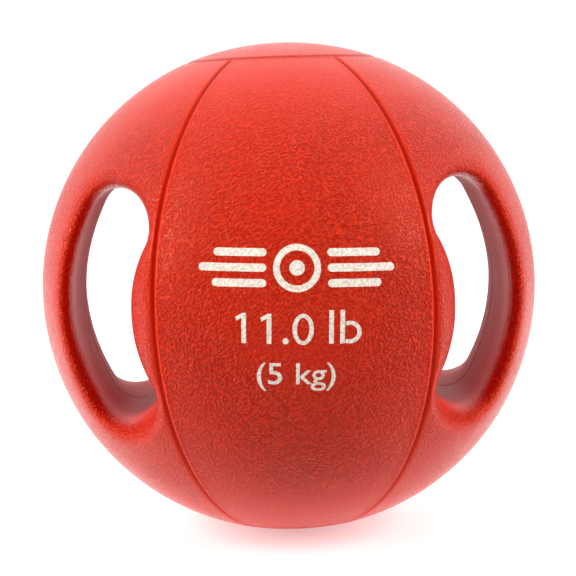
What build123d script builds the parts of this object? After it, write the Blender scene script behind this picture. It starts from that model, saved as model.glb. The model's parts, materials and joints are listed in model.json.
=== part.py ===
"""Dual-handle rubber medicine ball, 5 kg.

A hollow rubber ball with a hand opening right through it at each side. What is left of the
ball outside each opening is the handle. From the outside in, the wall is a grained cover laid
in panels, a heavy rubber carcass, a reinforcing ply and an air bladder with a needle valve.

Frame: origin at the ball's centre, +Z up, the handles on +X and -X, the printed front at -Y.
The moulding's parting plane is y = 0. All lengths are in millimetres and angles in degrees.
"""

from build123d import *
from math import sqrt
import os

os.makedirs("parts", exist_ok=True)

# ---- Driving dimensions: the ball ----
BALL_RADIUS = 135.0  # at the equator, over the handles
MERIDIAN_RADIUS = 133.5  # the side outline, drawn a little tighter than the equator
POLE_HEIGHT = 133.2  # the caps are slightly flattened
CAP_RADIUS = 52.0  # circular seam round each polar cap
SEAM_ANGLE = 30.0  # seams each side of the middle of the front and rear panels

# ---- Driving dimensions: the hand openings ----
OPENING_CENTRE = 11.0  # centre of the opening's two long arcs, out from the ball's centre
INNER_WALL_RADIUS = 68.5  # arc of the wall beside the ball's waist
OUTER_WALL_RADIUS = 105.0  # arc of the handle's inner side
LOBE_ANGLE = 29.0  # where the rounded ends start, above and below the middle
RIM_RADIUS = 6.8  # rounding where an opening's wall meets the outside

# ---- Driving dimensions: the wall ----
COVER_THICKNESS = 4.5
CARCASS_THICKNESS = 12.3
PLY_THICKNESS = 1.0
BLADDER_THICKNESS = 2.0
GROOVE_RADIUS = 1.2  # half-round groove along every outside seam

# ---- Driving dimensions: the needle valve, in the middle of the rear panel ----
STEM_RADIUS = 6.0
STEM_RECESS = 0.6  # the stem's end lies this far below the cover
FLANGE_RADIUS = 14.0
FLANGE_THICKNESS = 2.0
PLUG_RADIUS = 3.2
PLUG_HEAD_RADIUS = 4.2
PLUG_HEAD_THICKNESS = 1.5
PLUG_END_WALL = 3.0  # slit rubber beyond the needle, which closes when the needle is out
NEEDLE_HOLE_RADIUS = 1.0
NEEDLE_HOLE_DEPTH = 17.0
AIR_PASSAGE_RADIUS = 1.5

# ---- Derived dimensions ----
PLY_INSET = COVER_THICKNESS + CARCASS_THICKNESS
BLADDER_INSET = PLY_INSET + PLY_THICKNESS
CAVITY_INSET = BLADDER_INSET + BLADDER_THICKNESS
FLANGE_INSET = CAVITY_INSET + FLANGE_THICKNESS
MERIDIAN_OFFSET = BALL_RADIUS - MERIDIAN_RADIUS
CAP_EDGE_HEIGHT = sqrt(MERIDIAN_RADIUS**2 - (CAP_RADIUS - MERIDIAN_OFFSET) ** 2)
CAP_RISE = POLE_HEIGHT - CAP_EDGE_HEIGHT
CAP_SPHERE_RADIUS = (CAP_RADIUS**2 + CAP_RISE**2) / (2 * CAP_RISE)
SLOT_RADIUS = (INNER_WALL_RADIUS + OUTER_WALL_RADIUS) / 2
SLOT_WIDTH = OUTER_WALL_RADIUS - INNER_WALL_RADIUS
PLUG_LENGTH = NEEDLE_HOLE_DEPTH + PLUG_END_WALL
REACH = 2 * BALL_RADIUS  # longer than the ball, for cutting tools

SIDES = {"right": 1, "left": -1}  # which way along X each handle lies
HALVES = {"front": -1, "rear": 1}  # which way along Y each half of the moulding lies
CAPS = {"top": 1, "bottom": -1}  # which way along Z each cap lies
SIDE_SPAN = 90 - SEAM_ANGLE
COVER_PANELS = {  # where each panel starts round Z, from +X, and how far it runs
    "right_rear_side_panel": (0, SIDE_SPAN),
    "rear_panel": (SIDE_SPAN, 2 * SEAM_ANGLE),
    "left_rear_side_panel": (180 - SIDE_SPAN, SIDE_SPAN),
    "left_front_side_panel": (180, SIDE_SPAN),
    "front_panel": (180 + SIDE_SPAN, 2 * SEAM_ANGLE),
    "right_front_side_panel": (360 - SIDE_SPAN, SIDE_SPAN),
}
SEAMS = (SIDE_SPAN, 180 - SIDE_SPAN, 180 + SIDE_SPAN, 360 - SIDE_SPAN)


# ---- Shapes that several pieces share ----
def opening_plane(side):
    """Upright plane of one hand opening, with its origin at the centre of the opening's arcs."""
    return Plane(origin=(side * OPENING_CENTRE, 0, 0), x_dir=(side, 0, 0), z_dir=(0, -1, 0))


def outline_solid(inset):
    """The ball before its openings are cut, with its surface moved in by inset."""
    with BuildPart() as solid:
        with BuildSketch(Plane.XZ):
            with Locations((MERIDIAN_OFFSET, 0)):
                Circle(MERIDIAN_RADIUS - inset)
            for pole in CAPS.values():
                with Locations((0, pole * (POLE_HEIGHT - CAP_SPHERE_RADIUS))):
                    Circle(CAP_SPHERE_RADIUS - inset, mode=Mode.INTERSECT)
            with Locations((REACH / 2, 0)):
                Rectangle(REACH, REACH, mode=Mode.INTERSECT)
        revolve(axis=Axis.Z)
    return solid.part


def body_solid(inset):
    """The ball with its hand openings, filled up to a depth of inset below the surface."""
    middle = CenterArc((0, 0), SLOT_RADIUS, -LOBE_ANGLE, 2 * LOBE_ANGLE)
    rim_radius = RIM_RADIUS - inset
    with BuildPart() as solid:
        add(outline_solid(inset))
        for side in SIDES.values():
            with BuildSketch(opening_plane(side)):
                SlotArc(middle, SLOT_WIDTH + 2 * inset)
            extrude(amount=REACH, both=True, mode=Mode.SUBTRACT)
        if rim_radius > 0:
            walls = solid.faces().filter_by(GeomType.CYLINDER)
            fillet(walls.edges().filter_by(GeomType.LINE, reverse=True), rim_radius)
    return solid.part


def layer(outer_inset, inner_inset):
    """The part of the wall between two depths below the surface."""
    with BuildPart() as wall:
        add(body_solid(outer_inset))
        add(body_solid(inner_inset), mode=Mode.SUBTRACT)
    return wall.part


def wedge(plane, start, size, inner_radius):
    """A wedge of space through the whole ball, drawn on a plane, with its tip cut off."""
    with BuildPart() as space:
        with BuildSketch(plane):
            with BuildLine():
                rim = CenterArc((0, 0), REACH, start, size)
                tip = CenterArc((0, 0), inner_radius, start, size)
                Line(rim @ 0, tip @ 0)
                Line(rim @ 1, tip @ 1)
            make_face()
        extrude(amount=REACH, both=True)
    return space.part


def seam_grooves():
    """Tool for the half-round grooves that run from cap to cap."""
    with BuildPart() as grooves:
        for longitude in SEAMS:
            outward = Vector(1, 0, 0).rotate(Axis.Z, longitude)
            sideways = outward.cross(Vector(0, 0, 1))
            with Locations(Plane(origin=outward * MERIDIAN_OFFSET, x_dir=outward, z_dir=sideways)):
                Torus(MERIDIAN_RADIUS, GROOVE_RADIUS, major_angle=180, rotation=(0, 0, -90), align=None)
    return grooves.part


def cap_grooves():
    """Tool for the circular grooves round both caps."""
    with BuildPart() as grooves:
        for pole in CAPS.values():
            with Locations((0, 0, pole * CAP_EDGE_HEIGHT)):
                Torus(CAP_RADIUS, GROOVE_RADIUS)
    return grooves.part


def handle_spaces():
    """The space that both handles take up, outside the middle line of their openings."""
    with BuildPart() as spaces:
        for side in SIDES.values():
            add(wedge(opening_plane(side), -LOBE_ANGLE, 2 * LOBE_ANGLE, SLOT_RADIUS))
    return spaces.part


def valve_cylinder(radius, outer_end, inner_end):
    """A cylinder along the valve's line, between two distances from the ball's centre."""
    with BuildPart() as cylinder:
        with BuildSketch(Plane.XZ.offset(-outer_end)):
            Circle(radius)
        extrude(amount=outer_end - inner_end)
    return cylinder.part


def save(piece, name):
    """Label a finished piece and write its file."""
    piece.label = name
    export_step(piece, f"parts/{name}.step")


stem_hole = valve_cylinder(STEM_RADIUS, REACH, 0)

# ---- Cover: the panels between the caps ----
with BuildPart() as cover:
    add(layer(0, COVER_THICKNESS))
    add(cap_grooves(), mode=Mode.SUBTRACT)

with BuildPart() as panel_stock:
    add(cover.part)
    add(seam_grooves(), mode=Mode.SUBTRACT)
    add(stem_hole, mode=Mode.SUBTRACT)

for name, (start, size) in COVER_PANELS.items():
    with BuildPart() as panel:
        add(panel_stock.part)
        add(wedge(Plane.XY, start, size, CAP_RADIUS), mode=Mode.INTERSECT)
    save(panel.part, name)

# ---- Cover: the polar caps ----
for name, pole in CAPS.items():
    with BuildPart() as cap:
        add(cover.part)
        with BuildSketch():
            Circle(CAP_RADIUS)
        extrude(amount=pole * REACH, mode=Mode.INTERSECT)
    save(cap.part, f"{name}_cap")

# ---- Carcass: heavy rubber, with a core in each handle ----
with BuildPart() as carcass:
    add(layer(COVER_THICKNESS, PLY_INSET))
    add(stem_hole, mode=Mode.SUBTRACT)

for name, side in SIDES.items():
    with BuildPart() as handle_core:
        add(carcass.part)
        add(wedge(opening_plane(side), -LOBE_ANGLE, 2 * LOBE_ANGLE, SLOT_RADIUS), mode=Mode.INTERSECT)
    save(handle_core.part, f"{name}_handle_core")

for name, half in HALVES.items():
    with BuildPart() as carcass_half:
        add(carcass.part)
        add(handle_spaces(), mode=Mode.SUBTRACT)
        with BuildSketch(Plane.XZ):
            Rectangle(REACH, REACH)
        extrude(amount=-half * REACH, mode=Mode.INTERSECT)
    save(carcass_half.part, f"{name}_carcass")

# ---- Reinforcing ply and air bladder ----
with BuildPart() as reinforcing_ply:
    add(layer(PLY_INSET, BLADDER_INSET))
    add(stem_hole, mode=Mode.SUBTRACT)
save(reinforcing_ply.part, "reinforcing_ply")

with BuildPart() as bladder:
    add(layer(BLADDER_INSET, CAVITY_INSET))
    add(stem_hole, mode=Mode.SUBTRACT)
save(bladder.part, "bladder")

# ---- Needle valve: a flanged rubber housing bonded inside the bladder, and its plug ----
stem_end = BALL_RADIUS - STEM_RECESS
plug_end = stem_end - PLUG_LENGTH

with BuildPart() as valve_housing:
    add(layer(CAVITY_INSET, FLANGE_INSET))
    add(valve_cylinder(FLANGE_RADIUS, REACH, 0), mode=Mode.INTERSECT)
    add(valve_cylinder(STEM_RADIUS, stem_end, BALL_RADIUS - FLANGE_INSET))
    add(valve_cylinder(PLUG_HEAD_RADIUS, REACH, stem_end - PLUG_HEAD_THICKNESS), mode=Mode.SUBTRACT)
    add(valve_cylinder(PLUG_RADIUS, REACH, plug_end), mode=Mode.SUBTRACT)
    add(valve_cylinder(AIR_PASSAGE_RADIUS, REACH, 0), mode=Mode.SUBTRACT)
save(valve_housing.part, "valve_housing")

with BuildPart() as valve_plug:
    add(valve_cylinder(PLUG_RADIUS, stem_end, plug_end))
    add(valve_cylinder(PLUG_HEAD_RADIUS, stem_end, stem_end - PLUG_HEAD_THICKNESS))
    add(valve_cylinder(NEEDLE_HOLE_RADIUS, REACH, stem_end - NEEDLE_HOLE_DEPTH), mode=Mode.SUBTRACT)
save(valve_plug.part, "valve_plug")
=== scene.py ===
"""Looks of the dual-handle medicine ball: its red cover, its print, and the finishes inside."""

import json
import math

import bmesh
import bpy
import numpy as np
from mathutils import Euler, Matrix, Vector
from mathutils.geometry import delaunay_2d_cdt

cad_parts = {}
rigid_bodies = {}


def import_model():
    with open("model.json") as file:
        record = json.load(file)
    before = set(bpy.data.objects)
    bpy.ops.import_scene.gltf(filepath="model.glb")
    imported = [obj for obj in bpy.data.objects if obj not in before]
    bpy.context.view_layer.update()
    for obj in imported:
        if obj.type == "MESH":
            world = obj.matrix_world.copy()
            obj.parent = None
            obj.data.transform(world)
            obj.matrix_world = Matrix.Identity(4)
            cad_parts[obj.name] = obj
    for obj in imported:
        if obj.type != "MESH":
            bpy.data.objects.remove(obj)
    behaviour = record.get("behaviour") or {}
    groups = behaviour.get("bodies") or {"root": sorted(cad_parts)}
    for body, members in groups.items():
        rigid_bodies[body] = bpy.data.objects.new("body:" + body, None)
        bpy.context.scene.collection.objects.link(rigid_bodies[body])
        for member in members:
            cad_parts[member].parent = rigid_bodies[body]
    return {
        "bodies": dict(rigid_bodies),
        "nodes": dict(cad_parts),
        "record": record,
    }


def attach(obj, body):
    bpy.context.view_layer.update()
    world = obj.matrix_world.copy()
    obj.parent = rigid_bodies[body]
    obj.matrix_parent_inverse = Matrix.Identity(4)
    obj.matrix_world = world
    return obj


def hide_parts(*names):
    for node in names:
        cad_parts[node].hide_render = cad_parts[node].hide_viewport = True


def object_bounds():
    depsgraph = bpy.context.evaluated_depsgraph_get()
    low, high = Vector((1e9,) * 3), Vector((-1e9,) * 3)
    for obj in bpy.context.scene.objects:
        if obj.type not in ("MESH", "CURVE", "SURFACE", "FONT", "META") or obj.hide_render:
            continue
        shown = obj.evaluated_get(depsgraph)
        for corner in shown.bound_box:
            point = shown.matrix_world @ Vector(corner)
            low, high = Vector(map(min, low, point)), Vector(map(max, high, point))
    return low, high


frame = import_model()
cad_low, cad_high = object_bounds()
body = sorted(frame["bodies"])[0]

MM = 0.001
COARSER = 1

# ---- The ball's shape, in millimetres, as in the CAD ----
BALL = 135.0  # radius at the equator
MERIDIAN = 133.5  # radius of the curve from pole to pole
OFFSET = BALL - MERIDIAN  # how far that curve's centre lies from the axis
POLE = 133.2  # height of the middle of each cap
CAP_RADIUS = 52.0
CAP_EDGE = math.sqrt(MERIDIAN**2 - (CAP_RADIUS - OFFSET) ** 2)  # height of the caps' seams
CAP_RISE = POLE - CAP_EDGE
CAP_SPHERE = (CAP_RADIUS**2 + CAP_RISE**2) / (2 * CAP_RISE)
CAP_TILT = math.asin(CAP_EDGE / MERIDIAN)
SEAM = math.radians(30)  # longitude of the upright seams, from the middle of the front or rear

# ---- Hand openings: kidney shapes between two arcs about one centre, with round ends ----
SLOT_CENTRE = 11.0  # how far the arcs' centre lies from the ball's axis
SLOT_INNER = 68.5
SLOT_OUTER = 105.0
SLOT_ANGLE = math.radians(29)
SLOT_MIDDLE = (SLOT_INNER + SLOT_OUTER) / 2
SLOT_HALF = (SLOT_OUTER - SLOT_INNER) / 2
SLOT_END = np.array(
    [SLOT_CENTRE + SLOT_MIDDLE * math.cos(SLOT_ANGLE), SLOT_MIDDLE * math.sin(SLOT_ANGLE)]
)

SKIN = 2.4  # thickness of each cover piece
VALVE_HOLE = 6.1  # radius of the valve's hole in the rear cover

# ---- Seams, as depths and widths of grooves and of the raised lip beside them ----
GROOVE_DEPTH = 1.4
GROOVE_WIDTH = 1.05
CAP_GROOVE = 0.6
LIP_HEIGHT = 0.35
LIP_PLACE = 2.0
LIP_WIDTH = 0.75
CAP_LIP = 0.6  # the lip beside a cap is this share of the full one
PART_DEPTH = 0.35
PART_WIDTH = 0.35

# ---- Spacing of the covers' points, in millimetres ----
NEAR_SEAM = 3.2  # the points are crowded within about this distance of a seam
BESIDE_SEAM = 0.3
ON_SIDES = 2.4
ON_PANELS = 2.6

# ---- A side panel laid flat: its upright seam, its parting line, and its cap seams ----
FLAT_SEAM = BALL * SEAM
FLAT_PART = BALL * math.pi / 2
FLAT_CAP = MERIDIAN * CAP_TILT


def profile(z):
    """Radius of the ball at height z."""
    return OFFSET + np.sqrt(np.maximum(MERIDIAN**2 - np.square(z), 0.0))


def unit(v):
    """Vectors of length one."""
    return v / np.maximum(np.linalg.norm(v, axis=-1, keepdims=True), 1e-12)


def spread(start, end, count):
    """Evenly spaced values from start, up to but without end."""
    return np.linspace(start, end, count, endpoint=False)


def slot_edge():
    """Points and outward normals round the right-hand opening's edge."""
    centre = np.array([SLOT_CENTRE, 0.0])
    rows = []
    for a in spread(0, SLOT_ANGLE, 26 // COARSER):
        rows.append((centre, SLOT_INNER, a, -1))
    for a in spread(SLOT_ANGLE + math.pi, SLOT_ANGLE, 84 // COARSER):
        rows.append((SLOT_END, SLOT_HALF, a, 1))
    for a in np.linspace(SLOT_ANGLE, 0, 34 // COARSER):
        rows.append((centre, SLOT_OUTER, a, 1))
    upper = []
    for c, r, a, sign in rows:
        d = np.array([math.cos(a), math.sin(a)])
        upper.append((*(c + r * d), *(sign * d)))
    upper = np.array(upper)
    lower = upper[-2:0:-1] * np.array([1, -1, 1, -1])
    loop = np.concatenate([upper, lower])
    return loop[:, :2], loop[:, 2:]


def beside_slot(p):
    """How far points of the XZ plane lie outside the opening's edge, and how far round it they are.

    The place round it is 0 at the waist, 1 to 2 over an end, and 3 at the handle.
    """
    q = np.stack([p[..., 0], np.abs(p[..., 1])], axis=-1)
    out = q - np.array([SLOT_CENTRE, 0.0])
    angle = np.arctan2(out[..., 1], out[..., 0])
    radius = np.linalg.norm(out, axis=-1)
    end = q - SLOT_END
    turn = SLOT_ANGLE + math.pi - np.arctan2(end[..., 1], end[..., 0])
    turn = np.mod(turn, 2 * math.pi) / math.pi
    level = angle < SLOT_ANGLE
    share = angle / SLOT_ANGLE
    beside = np.where(radius < SLOT_MIDDLE, share, 3 - share)
    round_at = np.where(level, beside, 1 + np.clip(turn, 0, 1))
    away = np.where(level, np.abs(radius - SLOT_MIDDLE), np.linalg.norm(end, axis=-1)) - SLOT_HALF
    return away, round_at


def to_flat(p):
    """Points of the XZ plane as distances along the surface: round the ball, and up."""
    lon = np.arcsin(np.clip(p[..., 0] / profile(p[..., 1]), -1, 1))
    return np.stack([BALL * lon, MERIDIAN * np.arcsin(p[..., 1] / MERIDIAN)], axis=-1)


def from_flat(q):
    """The opposite of to_flat."""
    z = MERIDIAN * np.sin(q[..., 1] / MERIDIAN)
    return np.stack([profile(z) * np.sin(q[..., 0] / BALL), z], axis=-1)


def crowd(start, end, edge, fine, coarse):
    """Positions from start to end, coarse in the middle and fine within edge of both ends."""
    x = np.linspace(start, end, 4000)
    d = np.minimum(x - start, end - x)
    w = 1 / coarse + (1 / fine - 1 / coarse) * np.exp(-np.square(d / edge))
    grown = np.concatenate([[0], np.cumsum((w[1:] + w[:-1]) / 2 * (x[1] - x[0]))])
    count = int(round(grown[-1]))
    out = np.interp(np.linspace(0, grown[-1], count + 1), grown, x)
    out[0], out[-1] = start, end
    return out


def ball_normal(p):
    """Outward normal of the ball's surface."""
    across = np.hypot(p[..., 0], p[..., 1])
    share = (across - OFFSET) / np.maximum(across, 1e-6)
    return unit(np.stack([p[..., 0] * share, p[..., 1] * share, p[..., 2]], axis=-1))


def groove(d, depth, width):
    """Height of a groove at distance d from its middle."""
    return -depth * np.exp(-np.square(d / width))


def lip(d):
    """Height of the raised lip at distance d from the seam."""
    return LIP_HEIGHT * np.exp(-np.square((d - LIP_PLACE) / LIP_WIDTH))


def seam_distances(p):
    """Distance of each point from the nearest upright seam, cap seam and parting plane."""
    across, deep = np.abs(p[..., 0]), np.abs(p[..., 1])
    upright = np.abs(across * math.cos(SEAM) - deep * math.sin(SEAM))
    across = np.hypot(p[..., 0], p[..., 1])
    tilt = np.arctan2(np.abs(p[..., 2]), across - OFFSET)
    cap = MERIDIAN * np.abs(CAP_TILT - tilt)
    return upright, cap, deep


def new_object(name, verts, faces, flip):
    """A smooth mesh object from points in millimetres."""
    if flip:
        faces = [f[::-1] for f in faces]
    mesh = bpy.data.meshes.new(name)
    mesh.from_pydata((verts * MM).tolist(), [], faces)
    mesh.update()
    for p in mesh.polygons:
        p.use_smooth = True
    obj = bpy.data.objects.new(name, mesh)
    bpy.context.scene.collection.objects.link(obj)
    return obj


def closed_grid(name, outer, inner, loop, flip):
    """A closed mesh between two grids of points: outer is what shows, inner lies under it."""
    rows, cols = outer.shape[:2]
    n = rows * cols
    verts = np.concatenate([outer.reshape(-1, 3), inner.reshape(-1, 3)])
    faces = []
    last = rows if loop else rows - 1
    for i in range(last):
        j = (i + 1) % rows
        for k in range(cols - 1):
            a, b, c, d = i * cols + k, j * cols + k, j * cols + k + 1, i * cols + k + 1
            faces.append((a, b, c, d))
            faces.append((a + n, d + n, c + n, b + n))
        for k in (0, cols - 1):
            a, b = i * cols + k, j * cols + k
            faces.append((a, a + n, b + n, b) if k == 0 else (a, b, b + n, a + n))
    if not loop:
        for i in (0, rows - 1):
            for k in range(cols - 1):
                a, b = i * cols + k, i * cols + k + 1
                faces.append((a, b, b + n, a + n) if i == 0 else (a, a + n, b + n, b))
    return new_object(name, verts, faces, flip)


# ---- Side panels: a front and a rear quarter are worked out, and mirrored to the other side ----
# Each row below goes round the opening's edge: 0 at the waist, 1 to 2 over an end, 3 at the handle.
RIM_ROUND = (0.0, 0.75, 1.0, 1.25, 1.5, 1.75, 2.0, 2.5, 3.0)
# how broadly the rim is rounded
RIM_RADII = {
    "front": (11.0, 6.5, 3.4, 3.1, 10.0, 12.5, 10.0, 8.5, 8.0),
    "rear": (11.0, 6.5, 3.4, 3.1, 11.0, 15.5, 16.0, 16.0, 15.0),
}
# how far the tunnel's wall runs straight before the rounding starts
WALL_DEPTHS = {
    "front": (95.0, 101.0, 104.0, 101.0, 60.0, 54.0, 46.0, 43.0, 42.0),
    "rear": (95.0, 101.0, 104.0, 101.0, 56.0, 46.0, 24.0, 14.0, 12.0),
}
# how far the handle swells into the opening
HANDLE_BULGE = (0.0, 0.0, 0.0, 0.0, 0.0, 1.4, 3.4, 3.2, 2.5)
BULGE_REACH = {"front": 95.0, "rear": 34.0}  # the bulge ends this far from the parting plane
BULGE_FADE = {"front": 18.0, "rear": 14.0}  # and this far from the opening's edge
BULGE_LEAST = -0.45  # beyond its reach it turns to a hollow, at most this share of it
RINGS = (0.1, 0.4, 0.9, 1.6, 2.5, 3.6, 4.9, 6.4, 8.1, 10.0, 12.1, 14.4, 16.9)  # round the edge
WALL_STEPS = (0.0, 0.2, 0.4, 0.65, 1.0, 1.5)  # depths of the wall's rows near the parting plane


def eased(round_at, values):
    """A value that changes smoothly round the opening's edge."""
    fine = np.linspace(0, 3, 601)
    values = np.interp(fine, RIM_ROUND, values)
    padded = np.concatenate([values[60:0:-1], values, values[-2:-62:-1]])
    k = np.exp(-0.5 * (np.arange(-60, 61) / 22) ** 2)
    return np.interp(round_at, fine, np.convolve(padded, k / k.sum(), mode="valid"))


def rim_radius(round_at, half):
    """Rounding of the opening's rim: tight where a seam runs close by, and broad on the handle."""
    return eased(round_at, RIM_RADII[half])


def wall_depth(round_at, half):
    """How far the tunnel's wall runs straight from the parting plane."""
    return eased(round_at, WALL_DEPTHS[half])


def flat_sheet(half, edge, out):
    """Points and triangles of a side panel laid flat, and the numbers of the opening's points."""
    n = len(edge)
    spacing = (3.0, BESIDE_SEAM * COARSER, ON_SIDES * COARSER)
    lon = crowd(FLAT_SEAM, FLAT_PART, *spacing)
    height = crowd(-FLAT_CAP, FLAT_CAP, *spacing)
    field = np.stack(np.meshgrid(lon, height, indexing="ij"), axis=-1).reshape(-1, 2)
    away, round_at = beside_slot(from_flat(field))

    def room(q):
        """Distance of flat points from the panel's border."""
        across = np.minimum(q[:, 0] - FLAT_SEAM, FLAT_PART - q[:, 0])
        return np.minimum(across, FLAT_CAP - np.abs(q[:, 1]))

    # a grid of points away from the opening, and rings of points round it
    rim = rim_radius(round_at, half)
    by_seam = field[:, 0] - FLAT_SEAM < 3.6
    off_rings = away > np.minimum(rim, 17) + 1.2
    keep = (away > 1.1) & (by_seam | off_rings) | (room(field) < 1e-6)
    flat = [to_flat(edge), field[keep]]
    for s in RINGS:
        p = edge + out * s
        good = p[:, 0] < profile(p[:, 1]) - 0.2
        q = to_flat(p)
        _, at = beside_slot(p)
        good &= (room(q) > 0.5) & (s < rim_radius(at, half) + 1.0)
        good &= (q[:, 0] - FLAT_SEAM > 3.9) | (s < 1.0)
        flat.append(q[good])
    flat = np.concatenate(flat)
    loop = [(i, (i + 1) % n) for i in range(n)]
    co, _, tris, source, _, _ = delaunay_2d_cdt([Vector(q) for q in flat], loop, [], 0, 1e-5)
    place = {}
    for i, src in enumerate(source):
        for k in src:
            place[k] = i
    co = np.array([tuple(q) for q in co])
    tris = np.array(tris)
    for k, i in place.items():
        co[i] = flat[k]
    centre_away, _ = beside_slot(from_flat(co[tris].mean(axis=1)))
    tris = tris[centre_away > 0]
    # every triangle faces the same way
    a, b, c = (co[tris[:, i]] for i in range(3))
    turned = (b - a)[:, 0] * (c - a)[:, 1] - (b - a)[:, 1] * (c - a)[:, 0] < 0
    tris[turned] = tris[turned][:, ::-1]
    return co, tris, [place[i] for i in range(n)]


def side_quarter(half):
    """Outer and inner points and faces of the right front quarter, or of the rear one mirrored."""
    edge, out = slot_edge()
    n = len(edge)
    co, tris, rim_ids = flat_sheet(half, edge, out)
    p = from_flat(co)
    away, round_at = beside_slot(p)
    r = rim_radius(round_at, half)
    s = np.clip(np.where(away < 1e-3, 0, away) / r, 0, 1)
    full = np.sqrt(np.maximum(profile(p[:, 1]) ** 2 - p[:, 0] ** 2, 0))
    flat_depth = wall_depth(round_at, half)
    y = flat_depth + (full - flat_depth) * np.sqrt(2 * s - s * s)
    y[co[:, 0] > FLAT_PART - 1e-4] = 0
    shell = np.stack([p[:, 0], -y, p[:, 1]], axis=1)
    # the wall of the tunnel, from the rim to the parting plane
    first = len(shell)
    depth = -shell[rim_ids, 1]
    rows = [np.full(n, d) for d in WALL_STEPS]
    start = WALL_STEPS[-1]
    rows += [start + (depth - start) * f for f in np.linspace(0, 1, 30 // COARSER)[1:-1]]
    walls = [np.stack([shell[rim_ids, 0], -d, shell[rim_ids, 2]], axis=1) for d in rows]
    ids = [[first + j * n + i for i in range(n)] for j in range(len(rows))] + [rim_ids]
    shell = np.concatenate([shell, *walls])
    # the handle's inner side is rounded from front to rear
    away, round_at = beside_slot(shell[:, [0, 2]])
    bulge = eased(round_at, HANDLE_BULGE)
    bulge = bulge * np.clip(1 - np.square(shell[:, 1] / BULGE_REACH[half]), BULGE_LEAST, 1)
    bulge = bulge * np.clip(1 - away / BULGE_FADE[half], 0, 1)
    inward = unit(np.stack([shell[:, 0] - SLOT_CENTRE, 0 * bulge, shell[:, 2]], axis=1))
    shell = shell - inward * bulge[:, None]
    faces = [tuple(t) for t in tris]
    used = {(f[i], f[(i + 1) % 3]) for f in faces for i in range(3)}
    forward = (rim_ids[0], rim_ids[1]) in used
    for lower, upper in zip(ids, ids[1:]):
        for i in range(n):
            j = (i + 1) % n
            quad = (lower[i], lower[j], upper[j], upper[i])
            faces.append(quad if forward else quad[::-1])
    normal = point_normals(shell, faces)
    on_ball = np.zeros(len(shell), bool)
    on_ball[:first] = away[:first] >= r
    normal[on_ball] = ball_normal(shell[on_ball])
    parting = np.abs(shell[:, 1]) < 1e-6
    normal[parting] = unit(normal[parting] * np.array([1, 0, 1]))
    upright, cap, part = seam_distances(shell)
    raised = groove(part, PART_DEPTH, PART_WIDTH)
    seams = groove(upright, GROOVE_DEPTH, GROOVE_WIDTH) + groove(cap, CAP_GROOVE, GROOVE_WIDTH)
    # no seam runs on inside the opening
    seams[first:] = 0
    seams[away < 0.5] = 0
    raised = np.maximum(raised + seams, -GROOVE_DEPTH)
    return shell + normal * raised[:, None], shell - normal * SKIN, faces


def point_normals(points, faces):
    """The normal at each point, from the faces round it."""
    total = np.zeros_like(points)
    for f in faces:
        a, b, c = points[list(f[:3])]
        way = np.cross(b - a, c - a)
        if len(f) == 4:
            d = points[f[3]]
            way = np.cross(c - a, d - b)
        for i in f:
            total[i] += way
    return unit(total)


def closed_shell(name, outer, inner, faces, flip):
    """A closed mesh from a sheet of faces, its points, and the points under them."""
    n = len(outer)
    # an ordered dict, so that the rim's faces come in the same order each run
    sides = dict.fromkeys((a, b) for f in faces for a, b in zip(f, (*f[1:], f[0])))
    rim = [(a, b) for a, b in sides if (b, a) not in sides]
    solid = list(faces) + [tuple(i + n for i in f[::-1]) for f in faces]
    solid += [(b, a, a + n, b + n) for a, b in rim]
    return new_object(name, np.concatenate([outer, inner]), solid, flip)


cover = []
for half, y in (("front", 1), ("rear", -1)):
    outer, inner, faces = side_quarter(half)
    for side, x in (("right", 1), ("left", -1)):
        m = np.array([x, y, 1])
        piece = closed_shell(f"{side}_{half}_side_cover", outer * m, inner * m, faces, x * y < 0)
        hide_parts(f"{side}_{half}_side_panel")
        cover.append(piece)


# ---- Front and rear panels ----
def surface(longitude, tilt, raised=0.0):
    """A point of the ball. Longitude is from -Y toward +X, and tilt is up from the equator."""
    r = MERIDIAN + raised
    across = OFFSET + r * np.cos(tilt)
    x, y = across * np.sin(longitude), -across * np.cos(longitude)
    return np.stack([x, y, r * np.sin(tilt)], axis=-1)


def gore():
    """Outer and inner points of the front panel, between its two upright seams and the caps."""
    spacing = (NEAR_SEAM, BESIDE_SEAM * COARSER, ON_PANELS * COARSER)
    lon = crowd(-FLAT_SEAM, FLAT_SEAM, *spacing) / BALL
    tilt = crowd(-FLAT_CAP, FLAT_CAP, *spacing) / MERIDIAN
    lo, ti = np.meshgrid(lon, tilt, indexing="ij")
    base = surface(lo, ti)
    upright, cap, _ = seam_distances(base)
    from_seam = (SEAM - np.abs(lo)) * np.cos(ti) * BALL
    raised = groove(upright, GROOVE_DEPTH, GROOVE_WIDTH) + lip(from_seam)
    raised += groove(cap, CAP_GROOVE, GROOVE_WIDTH) + CAP_LIP * lip(cap)
    raised = np.clip(raised, -GROOVE_DEPTH, LIP_HEIGHT)
    return surface(lo, ti, raised), surface(lo, ti, -SKIN)


def evaluated_mesh(obj):
    """A new mesh from a curve, or from a mesh with its modifiers applied."""
    bpy.context.view_layer.update()
    graph = bpy.context.evaluated_depsgraph_get()
    return bpy.data.meshes.new_from_object(obj.evaluated_get(graph))


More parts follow.
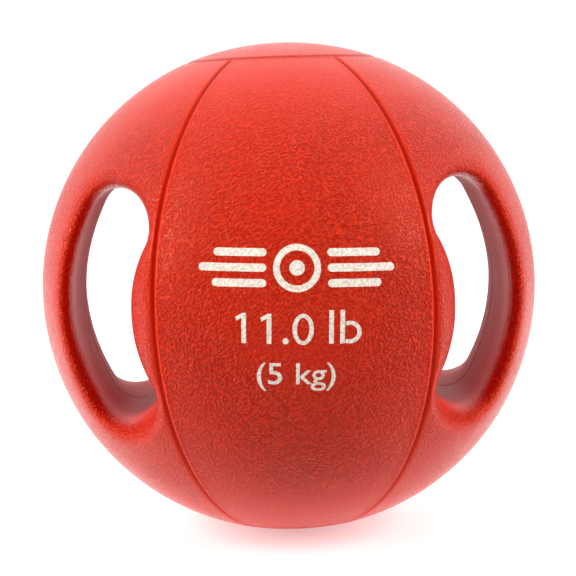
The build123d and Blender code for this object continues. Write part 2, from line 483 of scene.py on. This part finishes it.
def bore_valve(obj, n=64):
    """Cuts the valve's hole through the middle of the rear cover."""
    verts = [
        (VALVE_HOLE * math.cos(a), y, VALVE_HOLE * math.sin(a))
        for y in (BALL - 15, BALL + 5)
        for a in spread(0, 2 * math.pi, n)
    ]
    faces = [(i, (i + 1) % n, (i + 1) % n + n, i + n) for i in range(n)]
    faces += [tuple(range(n))[::-1], tuple(range(n, 2 * n))]
    cutter = new_object("cutter", np.array(verts), faces, True)
    cut = obj.modifiers.new("valve_hole", "BOOLEAN")
    cut.operation = "DIFFERENCE"
    cut.solver = "EXACT"
    cut.object = cutter
    bored = evaluated_mesh(obj)
    obj.modifiers.clear()
    obj.data = bored
    bored.set_sharp_from_angle(angle=math.radians(50))
    bpy.data.objects.remove(cutter)


outer, inner = gore()
for name, y in (("front", 1), ("rear", -1)):
    m = np.array([1, y, 1])
    piece = closed_grid(f"{name}_cover", outer * m, inner * m, loop=False, flip=y < 0)
    if name == "rear":
        bore_valve(piece)
    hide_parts(f"{name}_panel")
    cover.append(piece)


# ---- Caps ----
def cap_surface():
    """Outer and inner points of the top cap, in rows from its middle to its seam."""
    r = crowd(-CAP_RADIUS, CAP_RADIUS, NEAR_SEAM, BESIDE_SEAM, ON_PANELS)
    r = r[r > 0.5]
    rr, aa = np.meshgrid(r, spread(0, 2 * math.pi, 240 // COARSER), indexing="xy")
    raised = groove(CAP_RADIUS - rr, CAP_GROOVE, GROOVE_WIDTH)
    lean = np.arcsin(rr / CAP_SPHERE)

    def at(h):
        sphere = CAP_SPHERE + h
        across = sphere * np.sin(lean)
        up = POLE - CAP_SPHERE + sphere * np.cos(lean)
        return np.stack([across * np.cos(aa), across * np.sin(aa), up], axis=-1)

    return at(raised), at(-SKIN)


def close_middle(obj, rows, cols):
    """Closes the small hole left at the middle of a cap."""
    bm = bmesh.new()
    bm.from_mesh(obj.data)
    bm.verts.ensure_lookup_table()
    wall = [f for f in bm.faces if all(v.index % cols == 0 for v in f.verts)]
    bmesh.ops.delete(bm, geom=wall, context="FACES")
    bm.verts.ensure_lookup_table()
    for first in (0, rows * cols):
        bm.faces.new([bm.verts[first + i * cols] for i in range(rows)])
    bmesh.ops.recalc_face_normals(bm, faces=bm.faces)
    bm.to_mesh(obj.data)
    bm.free()
    for p in obj.data.polygons:
        p.use_smooth = True


outer, inner = cap_surface()
for name, z in (("top", 1), ("bottom", -1)):
    m = np.array([1, 1, z])
    piece = closed_grid(f"{name}_cap_cover", outer * m, inner * m, loop=True, flip=z > 0)
    close_middle(piece, *outer.shape[:2])
    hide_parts(f"{name}_cap")
    cover.append(piece)


# ---- Print on the front panel ----
PRINT_LIFT = 0.10  # the ink's face stands this far above the cover
PRINT_SINK = 0.25  # and its back lies this far below
PRINT_LEAN = math.radians(-2.1)
PRINT_CUT = 2.5  # the print is cut to pieces of this size, so that it can bend


def wrap(obj, across, up):
    """Lays a flat mesh, drawn in millimetres, on the front panel with its origin at a place."""
    bm = bmesh.new()
    bm.from_mesh(obj.data)
    low = [min(v.co[i] for v in bm.verts) for i in (0, 1)]
    high = [max(v.co[i] for v in bm.verts) for i in (0, 1)]
    for axis in (0, 1):
        cut = math.floor(low[axis] / PRINT_CUT) * PRINT_CUT
        while cut < high[axis]:
            cut += PRINT_CUT
            at, way = [0, 0, 0], [0, 0, 0]
            at[axis], way[axis] = cut, 1
            geom = list(bm.verts) + list(bm.edges) + list(bm.faces)
            bmesh.ops.bisect_plane(bm, geom=geom, dist=1e-5, plane_co=at, plane_no=way)
    c, s = math.cos(PRINT_LEAN), math.sin(PRINT_LEAN)
    for v in bm.verts:
        x, y = v.co.x * c - v.co.y * s + across, v.co.x * s + v.co.y * c + up
        lift = PRINT_LIFT if v.co.z > 0 else -PRINT_SINK
        v.co = Vector(surface(x / BALL, y / MERIDIAN, lift)) * MM
    bm.to_mesh(obj.data)
    bm.free()


def as_mesh(name, curve):
    """A mesh object from a flat curve, which has a thickness of its own."""
    drawn = bpy.data.objects.new(name + "_outline", curve)
    bpy.context.scene.collection.objects.link(drawn)
    mesh = evaluated_mesh(drawn)
    bpy.data.objects.remove(drawn)
    obj = bpy.data.objects.new(name, mesh)
    bpy.context.scene.collection.objects.link(obj)
    return obj


def lettering(name, words, height, across, up, widen):
    """A thin piece from words in the built-in font, of the given height in millimetres."""
    curve = bpy.data.curves.new(name, "FONT")
    curve.body = words
    curve.align_x = "CENTER"
    curve.align_y = "CENTER"
    curve.size = 1.0
    curve.extrude = 0.5
    curve.resolution_u = 6
    curve.offset = 0.006
    obj = as_mesh(name, curve)
    co = np.array([v.co for v in obj.data.vertices])
    low, high = co.min(0), co.max(0)
    size = height / (high[1] - low[1])
    for v in obj.data.vertices:
        v.co.x = (v.co.x - (low[0] + high[0]) / 2) * size * widen
        v.co.y = (v.co.y - (low[1] + high[1]) / 2) * size
    wrap(obj, across, up)
    return obj


def flat_shapes(name, outlines, across, up):
    """A thin piece from flat outlines in millimetres. An outline inside another one is a hole."""
    curve = bpy.data.curves.new(name, "CURVE")
    curve.dimensions = "2D"
    curve.fill_mode = "BOTH"
    curve.extrude = 0.5
    for loop in outlines:
        spline = curve.splines.new("POLY")
        spline.points.add(len(loop) - 1)
        for p, (x, y) in zip(spline.points, loop):
            p.co = (x, y, 0, 1)
        spline.use_cyclic_u = True
    obj = as_mesh(name, curve)
    wrap(obj, across, up)
    return obj


def arc(x, y, rx, ry, angles):
    """Points of an ellipse about x, y."""
    return [(x + rx * math.cos(a), y + ry * math.sin(a)) for a in angles]


def oval(x, y, rx, ry, n=64):
    return arc(x, y, rx, ry, spread(0, 2 * math.pi, n))


def bar(x0, x1, y, r, n=12):
    """A bar with round ends of radius r."""
    quarter = math.pi / 2
    right = arc(x1 - r, y, r, r, np.linspace(-quarter, quarter, n))
    left = arc(x0 + r, y, r, r, np.linspace(quarter, 3 * quarter, n))
    return right + left


# a ring with a dot in it, between two sets of three bars
BAR_START = 14.5
BAR_RADIUS = 1.9
emblem = [oval(0, 0, r, r, 72) for r in (11.3, 8.2, 3.6)]
for way in (-1, 1):
    for y, length in ((7.2, 26.0), (0.0, 33.0), (-7.2, 26.0)):
        xs = sorted((way * BAR_START, way * (BAR_START + length)))
        emblem.append(bar(*xs, y, BAR_RADIUS))


def one(x, foot, top):
    """A figure 1 with a flag, its stem ending at x on the right."""
    stem_left = x - STROKE
    flag = [(x - 1.7, top), (x - 5.2, top - 2.0), (x - 4.6, top - 3.7), (stem_left, top - 2.3)]
    return [(x, foot), (x, top), *flag, (stem_left, foot)]


def stem(x, foot, top):
    """An upright stroke, from x to the right."""
    return [(x, foot), (x + STROKE, foot), (x + STROKE, top), (x, top)]


def bowl(x, y, reach, ry, stroke, n=40):
    """The round part of a b, from x to the right."""
    turn = np.linspace(math.radians(115), math.radians(-115), n)
    rx = reach / (1 - math.cos(math.radians(115)))
    middle = x + reach - rx
    inner = arc(middle, y, rx - stroke, ry - stroke, turn[::-1])
    return arc(middle, y, rx, ry, turn) + [(max(x, px), py) for px, py in inner]


# the weight in pounds: two figures 1, a point, a 0, an l and a b
STROKE = 2.2
pounds = [
    one(-24.8, -7.4, 6.9),
    one(-12.9, -7.5, 6.7),
    oval(-6.3, -6.2, 1.5, 1.5, 24),
    oval(1.9, -0.6, 5.0, 7.4),
    oval(1.9, -0.6, 2.9, 5.5),
    stem(14.1, -7.5, 8.3),
    stem(19.4, -7.5, 8.3),
    bowl(21.65, -2.2, 8.0, 5.4, 2.0),
]

prints = [
    flat_shapes("front_emblem", emblem, 1.5, 23.5),
    flat_shapes("weight_pounds", pounds, 1.4, -4.6),
    lettering("weight_kilograms", "(5 kg)", 14.2, -0.6, -28.3, 1.13),
]


# ---- Materials. Lengths are in metres here, as the nodes read them ----
RED = (0.65, 0.018, 0.003), (0.70, 0.022, 0.004)  # it varies in wide patches
# painted shade for the pits of the grain
PIT_SHADE_RED = (0.34, 0.006, 0.001)
# painted shade for the grooves of the seams
SEAM_SHADE_RED = (0.30, 0.006, 0.004)
SHEEN_TINT = (1.0, 0.46, 0.28)
INK_CREAM = (0.76, 0.60, 0.50), (0.90, 0.82, 0.71)  # in the pits, and on the ridges
WORN = (0.075, 0.125)  # heights between which the grain fades
BESIDE_GROOVE = (0.0018, 0.0034)  # distances from an upright seam between which it fades
GRAIN_STARTS = (0.118, 0.131)  # radii between which it grows, from the openings out
WALL_TO_SKIN = (0.112, 0.130)  # radii between which the dull walls turn to the glossy outside
GRAIN_DEPTH = 0.00052
INK_DEPTH = 0.00030


def node_tree(name):
    """A new material with its node tree and its shader."""
    m = bpy.data.materials.new(name)
    m.use_nodes = True
    nt = m.node_tree
    nt.nodes.clear()
    out = nt.nodes.new("ShaderNodeOutputMaterial")
    shader = nt.nodes.new("ShaderNodeBsdfPrincipled")
    nt.links.new(shader.outputs["BSDF"], out.inputs["Surface"])
    return m, nt, shader


def add(nt, kind, **settings):
    """A new node, with its properties or its inputs set by name."""
    n = nt.nodes.new("ShaderNode" + kind)
    for key, value in settings.items():
        if hasattr(n, key):
            setattr(n, key, value)
        else:
            n.inputs[key].default_value = value
    return n


def give(nt, socket, value):
    """Sets a socket to a number or a colour, or links it to another node's output."""
    if isinstance(value, tuple):
        socket.default_value = (*value, 1)
    elif isinstance(value, (int, float)):
        socket.default_value = value
    else:
        nt.links.new(value, socket)


def maths(nt, operation, *values):
    n = add(nt, "Math", operation=operation)
    for socket, value in zip(n.inputs, values):
        give(nt, socket, value)
    return n.outputs[0]


def ramp(nt, value, low, high, to_low=0.0, to_high=1.0):
    """A value that eases from to_low to to_high as the given one goes from low to high."""
    n = add(nt, "MapRange", interpolation_type="SMOOTHSTEP")
    for key, v in (
        ("Value", value),
        ("From Min", low),
        ("From Max", high),
        ("To Min", to_low),
        ("To Max", to_high),
    ):
        give(nt, n.inputs[key], v)
    return n.outputs["Result"]


def mix_colour(nt, factor, a, b):
    n = add(nt, "Mix", data_type="RGBA")
    for i, v in ((0, factor), (6, a), (7, b)):
        give(nt, n.inputs[i], v)
    return n.outputs[2]


def object_place(nt):
    """The place on the object, in metres, whole and as X, Y and Z."""
    coords = nt.nodes.new("ShaderNodeTexCoord").outputs["Object"]
    apart = nt.nodes.new("ShaderNodeSeparateXYZ")
    nt.links.new(coords, apart.inputs[0])
    return coords, *apart.outputs


def texture(nt, kind, coords, **settings):
    """A texture node that is laid by the given coordinates."""
    n = add(nt, kind, **settings)
    nt.links.new(coords, n.inputs["Vector"])
    return n


def give_bump(nt, shader, height, strength, distance):
    bump = add(nt, "Bump", Strength=strength, Distance=distance)
    nt.links.new(height, bump.inputs["Height"])
    nt.links.new(bump.outputs["Normal"], shader.inputs["Normal"])


def grain_height(nt, coords):
    """The moulded grain: short worm-like ridges, about 1 mm apart, that lean to the right."""
    bend = texture(nt, "TexNoise", coords, Scale=90.0, Detail=1.0)
    shift = nt.nodes.new("ShaderNodeVectorMath")
    shift.operation = "MULTIPLY_ADD"
    nt.links.new(bend.outputs["Color"], shift.inputs[0])
    shift.inputs[1].default_value = (0.0018, 0.0018, 0.0018)
    nt.links.new(coords, shift.inputs[2])
    lay = nt.nodes.new("ShaderNodeMapping")
    lay.vector_type = "TEXTURE"
    lay.inputs["Rotation"].default_value = (0, math.radians(-35), 0)
    lay.inputs["Scale"].default_value = (1.35, 1.0, 0.9)
    nt.links.new(shift.outputs[0], lay.inputs["Vector"])
    laid = lay.outputs["Vector"]
    worm = texture(nt, "TexNoise", laid, Scale=880.0, Detail=1.0, Roughness=0.45, Distortion=0.3)
    return ramp(nt, worm.outputs["Fac"], 0.38, 0.66)


def upright_seam_distance(nt, x, y, far):
    """Distance from the nearest upright seam, which is large on the caps, where there is none."""
    across = maths(nt, "MULTIPLY", maths(nt, "ABSOLUTE", x), math.cos(SEAM))
    deep = maths(nt, "MULTIPLY", maths(nt, "ABSOLUTE", y), math.sin(SEAM))
    seam = maths(nt, "ABSOLUTE", maths(nt, "SUBTRACT", across, deep))
    on_cap = ramp(nt, far, (CAP_EDGE - 0.3) * MM, (CAP_EDGE + 0.3) * MM, 0.0, 0.05)
    return maths(nt, "MAXIMUM", seam, on_cap)


def cover_material():
    """Red rubber: grained and slightly glossy outside, and duller in the openings, with painted
    shade in the seams and the pits of the grain.
    """
    m, nt, shader = node_tree("red_rubber_cover")
    coords, x, y, z = object_place(nt)
    grain = grain_height(nt, coords)
    far = maths(nt, "ABSOLUTE", z)
    length = nt.nodes.new("ShaderNodeVectorMath")
    length.operation = "LENGTH"
    nt.links.new(coords, length.inputs[0])
    radius = length.outputs["Value"]
    patches = texture(nt, "TexNoise", coords, Scale=22.0, Detail=2.0).outputs["Fac"]
    fine = texture(nt, "TexNoise", coords, Scale=2600.0, Detail=2.0).outputs["Fac"]

    # the grain is worn toward the poles, and stops short of the seams and inside the openings
    seam = upright_seam_distance(nt, x, y, far)
    amount = maths(
        nt,
        "MULTIPLY",
        ramp(nt, far, *WORN, 1.0, 0.35),
        ramp(nt, seam, *BESIDE_GROOVE, 0.12, 1.0),
    )
    amount = maths(nt, "MULTIPLY", amount, ramp(nt, radius, *GRAIN_STARTS, 0.25, 1.0))
    amount = maths(nt, "MULTIPLY", amount, ramp(nt, patches, 0.3, 0.7, 0.75, 1.15))
    height = maths(nt, "MULTIPLY", grain, amount)
    height = maths(nt, "ADD", height, maths(nt, "MULTIPLY", fine, 0.2))
    give_bump(nt, shader, height, 1.0, GRAIN_DEPTH)

    # painted shade: the pits of the grain and the grooves of the seams are darkened in the colour
    colour = mix_colour(nt, ramp(nt, patches, 0.35, 0.65), *RED)
    pit_shade = maths(nt, "MULTIPLY", maths(nt, "SUBTRACT", 1.0, grain), amount)
    colour = mix_colour(nt, maths(nt, "MULTIPLY", pit_shade, 0.65), colour, PIT_SHADE_RED)
    # painted shade in the grooves of the upright and cap seams
    cap_seam = maths(nt, "ABSOLUTE", maths(nt, "SUBTRACT", far, CAP_EDGE * MM))
    seam_shade = ramp(nt, maths(nt, "MINIMUM", seam, cap_seam), 0.0004, 0.0014, 0.4, 0.0)
    colour = mix_colour(nt, seam_shade, colour, SEAM_SHADE_RED)
    nt.links.new(colour, shader.inputs["Base Color"])

    # the walls of the openings are duller
    rough = ramp(nt, patches, 0.3, 0.7, 0.20, 0.25)
    rough = maths(nt, "ADD", rough, ramp(nt, radius, *WALL_TO_SKIN, 0.22, 0.0))
    nt.links.new(rough, shader.inputs["Roughness"])
    gloss = ramp(nt, radius, *WALL_TO_SKIN, 0.10, 0.34)
    nt.links.new(gloss, shader.inputs["Specular IOR Level"])
    shader.inputs["Specular Tint"].default_value = (*SHEEN_TINT, 1)
    return m


def ink_material():
    """Dull cream ink, thinner in the pits of the grain under it."""
    m, nt, shader = node_tree("cream_ink")
    grain = grain_height(nt, object_place(nt)[0])
    give_bump(nt, shader, grain, 0.8, INK_DEPTH)
    colour = mix_colour(nt, ramp(nt, grain, 0.0, 0.5), *INK_CREAM)
    nt.links.new(colour, shader.inputs["Base Color"])
    shader.inputs["Roughness"].default_value = 0.55
    return m


def plain_material(name, dark, light, roughness, scale, depth, weave=False):
    """Rubber or cloth for the pieces inside."""
    m, nt, shader = node_tree(name)
    coords = object_place(nt)[0]
    if weave:
        threads = [
            texture(nt, "TexWave", coords, wave_type="BANDS", bands_direction=axis, Scale=scale)
            for axis in ("X", "Z")
        ]
        value = maths(nt, "MAXIMUM", *(t.outputs["Fac"] for t in threads))
    else:
        value = texture(nt, "TexNoise", coords, Scale=scale, Detail=4.0).outputs["Fac"]
    give_bump(nt, shader, value, 0.6, depth)
    colour = mix_colour(nt, ramp(nt, value, 0.2, 0.8), dark, light)
    nt.links.new(colour, shader.inputs["Base Color"])
    shader.inputs["Roughness"].default_value = roughness
    return m


red = cover_material()
for piece in cover:
    piece.data.materials.append(red)
    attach(piece, body)

ink = ink_material()
for piece in prints:
    piece.data.materials.clear()
    piece.data.materials.append(ink)
    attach(piece, body)

# each finish inside: its dark and light colour, its roughness, and the scale and depth of its bumps
inside = {
    "carcass": plain_material(
        "dark_rubber", (0.020, 0.020, 0.022), (0.045, 0.045, 0.048), 0.75, 300.0, 0.0002
    ),
    "ply": plain_material(
        "ply_cloth", (0.42, 0.40, 0.35), (0.66, 0.63, 0.56), 0.85, 160.0, 0.0003, weave=True
    ),
    "bladder": plain_material(
        "bladder_rubber", (0.022, 0.022, 0.025), (0.035, 0.035, 0.038), 0.4, 120.0, 0.0001
    ),
    "valve": plain_material(
        "valve_rubber", (0.012, 0.012, 0.012), (0.028, 0.028, 0.028), 0.5, 500.0, 0.0001
    ),
}
slots = {s["node"]: s["material_slot"] for s in frame["record"]["subparts"]}
for name, node in frame["nodes"].items():
    if slots[name] in inside:
        node.data.materials.clear()
        node.data.materials.append(inside[slots[name]])
        for p in node.data.polygons:
            p.use_smooth = True


# ---- Floor, lights and camera ----
def stage_material():
    """White and glowing under and behind the object, a painted pool of light, and falling off to
    grey in front of it.
    """
    m, nt, shader = node_tree("pale_floor")
    coords, _, y, _ = object_place(nt)
    near = ramp(nt, y, -0.19, -0.045)
    noise = texture(nt, "TexNoise", coords, Scale=3.0, Detail=2.0)
    white = mix_colour(nt, noise.outputs["Fac"], (0.86, 0.86, 0.86), (0.88, 0.88, 0.88))
    nt.links.new(mix_colour(nt, near, (0.42, 0.42, 0.42), white), shader.inputs["Base Color"])
    # painted light: the floor glows white under and behind the object, though it is no lamp
    shader.inputs["Emission Color"].default_value = (1, 1, 1, 1)
    nt.links.new(maths(nt, "MULTIPLY", near, 0.42), shader.inputs["Emission Strength"])
    shader.inputs["Roughness"].default_value = 0.9
    shader.inputs["Specular IOR Level"].default_value = 0.1
    return m


FLOOR_REACH = 12.0
floor_mesh = bpy.data.meshes.new("floor")
z = cad_low.z - 0.0002
corners = [(x * FLOOR_REACH, y * FLOOR_REACH, z) for x, y in ((-1, -1), (1, -1), (1, 1), (-1, 1))]
floor_mesh.from_pydata(corners, [], [(0, 1, 2, 3)])
floor = bpy.data.objects.new("floor", floor_mesh)
bpy.context.scene.collection.objects.link(floor)
floor_mesh.materials.append(stage_material())

# a white studio: bright overhead and behind, and dim where the camera stands
SKY_TOP = 0.42
SKY_FRONT = 0.02
SKY_BACK = 1.05
world = bpy.data.worlds.new("studio")
bpy.context.scene.world = world
world.use_nodes = True
wt = world.node_tree
sky = wt.nodes["Background"]
sky.inputs["Color"].default_value = (1.0, 1.0, 1.0, 1)
apart = wt.nodes.new("ShaderNodeSeparateXYZ")
wt.links.new(wt.nodes.new("ShaderNodeTexCoord").outputs["Generated"], apart.inputs[0])
overhead = ramp(wt, apart.outputs["Z"], 0.1, 0.9, 0.0, SKY_TOP)
behind = ramp(wt, apart.outputs["Y"], -0.1, 0.6, SKY_FRONT, SKY_BACK)
wt.links.new(maths(wt, "ADD", overhead, behind), sky.inputs["Strength"])


def soft_light(name, at, size, power):
    """A rectangular light that faces the ball's centre."""
    data = bpy.data.lights.new(name, "AREA")
    data.shape = "RECTANGLE"
    data.size, data.size_y = size
    data.energy = power
    lamp = bpy.data.objects.new(name, data)
    lamp.location = at
    lamp.rotation_euler = (-Vector(at)).to_track_quat("-Z", "Y").to_euler()
    bpy.context.scene.collection.objects.link(lamp)


soft_light("left", (-1.1, -0.5, 0.55), (0.3, 0.8), 18.0)
soft_light("right", (1.1, -0.5, 0.55), (0.3, 0.8), 15.5)
soft_light("top", (0.0, -0.1, 1.35), (2.4, 1.6), 6.0)

CAMERA_ELEVATION = math.radians(6.609)
CAMERA_AZIMUTH = math.radians(-1.12)
CAMERA_ROLL = math.radians(1.986)
CAMERA_DISTANCE = 6 * BALL * MM
camera_data = bpy.data.cameras.new("camera")
camera = bpy.data.objects.new("camera", camera_data)
bpy.context.scene.collection.objects.link(camera)
bpy.context.scene.camera = camera
level = math.cos(CAMERA_ELEVATION)
back = Vector(
    (
        math.sin(CAMERA_AZIMUTH) * level,
        -math.cos(CAMERA_AZIMUTH) * level,
        math.sin(CAMERA_ELEVATION),
    )
)
camera.location = back * CAMERA_DISTANCE
facing = (-back).to_track_quat("-Z", "Y")
camera.rotation_mode = "QUATERNION"
camera.rotation_quaternion = facing @ Euler((0, 0, -CAMERA_ROLL)).to_quaternion()
camera_data.sensor_width = 36.0
camera_data.lens = 91.08
camera_data.shift_x = -0.00159
camera_data.shift_y = -0.00471
camera_data.clip_start, camera_data.clip_end = 0.05, 50.0

bpy.context.scene.view_settings.view_transform = "Standard"
bpy.context.scene.view_settings.look = "None"
